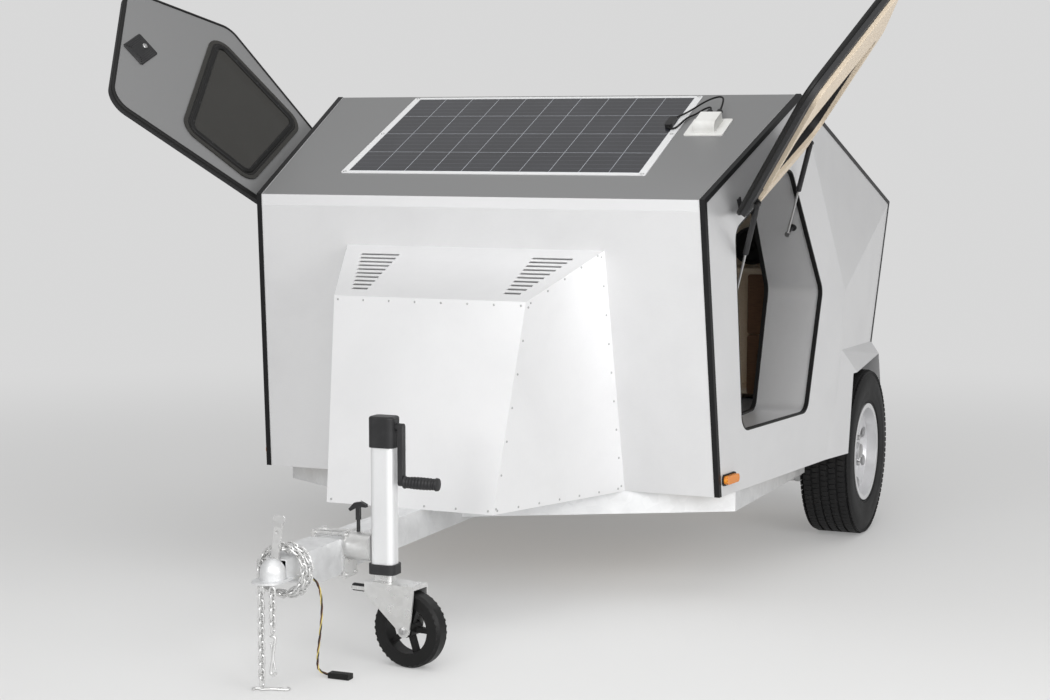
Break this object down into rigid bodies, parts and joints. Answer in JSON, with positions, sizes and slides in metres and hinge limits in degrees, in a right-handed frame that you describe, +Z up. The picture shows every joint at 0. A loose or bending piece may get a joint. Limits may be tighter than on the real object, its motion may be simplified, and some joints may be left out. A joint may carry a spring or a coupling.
{
  "type": "teardrop trailer",
  "caption": "Faceted teardrop camping trailer with open gull-wing doors, vented nose box, caster jack and ball coupler.",
  "frame": {"origin": "centre of the overall length and width, on the ground", "axes": "+X forward to the coupler, +Y to the trailer's left, +Z up"},
  "size_m": [3.9407, 3.0812, 2.2135],
  "materials": {
    "body_sheet": "satin",
    "roof_sheet": "satin",
    "nose_sheet": "satin",
    "black_trim": "matte",
    "rubber": "matte",
    "tyre": "matte",
    "rim_alloy": "satin",
    "tint_glass": "gloss",
    "birch": "satin",
    "brown_panel": "satin",
    "steel": "satin",
    "zinc": "satin",
    "solar_cells": "gloss",
    "white_plastic": "gloss",
    "amber_lens": "gloss",
    "red_lens": "gloss",
    "galvanised": "satin",
    "mattress_cloth": "matte",
    "jack_paint": "gloss",
    "jack_black": "matte"
  },
  "bodies": {
    "trailer": {"front_wall": "body_sheet", "roof_front": "roof_sheet", "roof_rear": "roof_sheet", "floor": "birch", "tail_panel": "body_sheet", "roof_hinges": "black_trim", "edge_trim": "black_trim", "nose_box": "nose_sheet", "solar_panel": "solar_cells", "solar_boxes": "white_plastic", "solar_leads": "rubber", "solar_fittings": "jack_black", "lamp_bases": "rubber", "marker_lamps": "amber_lens", "tail_lamps": "red_lens", "bulkhead": "birch", "cabinet": "birch", "cupboard_doors": "brown_panel", "speakers": "jack_black", "mattress": "mattress_cloth", "chassis": "galvanised", "suspension": "galvanised", "coupler": "galvanised", "coupler_latch": "zinc", "jack_mount": "zinc", "jack_tube": "jack_paint", "jack_head": "jack_black", "jack_crank": "jack_black", "safety_chains": "zinc", "tow_wires": "rubber", "tow_plug": "rubber", "side_wall_left": "body_sheet", "side_wall_right": "body_sheet", "side_rear_left": "body_sheet", "side_rear_right": "body_sheet", "opening_seal_left": "rubber", "opening_seal_right": "rubber", "door_mounts_left": "jack_black", "door_mounts_right": "jack_black"},
    "hatch": {"hatch": "body_sheet", "hatch_hardware": "black_trim"},
    "jack_leg": {"jack_leg": "zinc"},
    "caster_fork": {"caster_fork": "zinc"},
    "caster_wheel": {"caster_wheel": "rubber"},
    "door_left": {"door_left": "roof_sheet", "door_glass_left": "tint_glass", "door_liner_left": "birch", "door_hardware_left": "jack_black"},
    "strut_tubes_left": {"strut_tubes_left": "jack_black"},
    "strut_rods_left": {"strut_rods_left": "steel"},
    "wheel_left": {"tyre_left": "tyre", "rim_left": "rim_alloy"},
    "door_right": {"door_right": "roof_sheet", "door_glass_right": "tint_glass", "door_liner_right": "birch", "door_hardware_right": "jack_black"},
    "strut_tubes_right": {"strut_tubes_right": "jack_black"},
    "strut_rods_right": {"strut_rods_right": "steel"},
    "wheel_right": {"tyre_right": "tyre", "rim_right": "rim_alloy"}
  },
  "joints": [
    {"name": "door_left_hinge", "type": "hinge", "parent": "trailer", "child": "door_left", "pos_m": [0.3962, 0.91094, 1.28947], "axis": [0.9081, -0.1092, -0.4043], "range_deg": [-141, 0]},
    {"name": "strut_left_pivot", "type": "hinge", "parent": "door_left", "child": "strut_tubes_left", "pos_m": [0.25253, 1.00695, 1.41576], "axis": [0.9081, -0.1092, -0.4043], "range_deg": [-2, 154]},
    {"name": "strut_left_slide", "type": "slide", "parent": "strut_tubes_left", "child": "strut_rods_left", "axis": [-0.4171, -0.3221, -0.8499], "range_m": [-0.1695, 0.001]},
    {"name": "wheel_left_spin", "type": "hinge", "parent": "trailer", "child": "wheel_left", "pos_m": [-1.2025, 0.9675, 0.344], "axis": [0, 1, 0], "continuous": true},
    {"name": "door_right_hinge", "type": "hinge", "parent": "trailer", "child": "door_right", "pos_m": [0.3962, -0.91094, 1.28947], "axis": [-0.9081, -0.1092, 0.4043], "range_deg": [-141, 0]},
    {"name": "strut_right_pivot", "type": "hinge", "parent": "door_right", "child": "strut_tubes_right", "pos_m": [0.25253, -1.00695, 1.41576], "axis": [-0.9081, -0.1092, 0.4043], "range_deg": [-2, 154]},
    {"name": "strut_right_slide", "type": "slide", "parent": "strut_tubes_right", "child": "strut_rods_right", "axis": [-0.4171, 0.3221, -0.8499], "range_m": [-0.1695, 0.001]},
    {"name": "wheel_right_spin", "type": "hinge", "parent": "trailer", "child": "wheel_right", "pos_m": [-1.2025, -0.9675, 0.344], "axis": [0, 1, 0], "continuous": true},
    {"name": "hatch_hinge", "type": "hinge", "parent": "trailer", "child": "hatch", "pos_m": [-1.95459, 0, 1.32235], "axis": [0, 1, 0], "range_deg": [0, 110]},
    {"name": "jack_leg_slide", "type": "slide", "parent": "trailer", "child": "jack_leg", "axis": [0, 0, 1], "range_m": [-0.13, 0]},
    {"name": "caster_swivel", "type": "hinge", "parent": "jack_leg", "child": "caster_fork", "pos_m": [1.5015, 0.179, 0.264], "axis": [0, 0, 1], "continuous": true},
    {"name": "caster_wheel_spin", "type": "hinge", "parent": "caster_fork", "child": "caster_wheel", "pos_m": [1.51308, 0.27329, 0.122], "axis": [-0.9925, 0.1219, 0], "continuous": true}
  ],
  "couplings": [
    {"joint": "strut_left_pivot", "follows": "door_left_hinge", "ratio": -1.078},
    {"joint": "strut_left_slide", "follows": "door_left_hinge", "m_per_rad": 0.068355},
    {"joint": "strut_right_pivot", "follows": "door_right_hinge", "ratio": -1.078},
    {"joint": "strut_right_slide", "follows": "door_right_hinge", "m_per_rad": 0.068355}
  ]
}
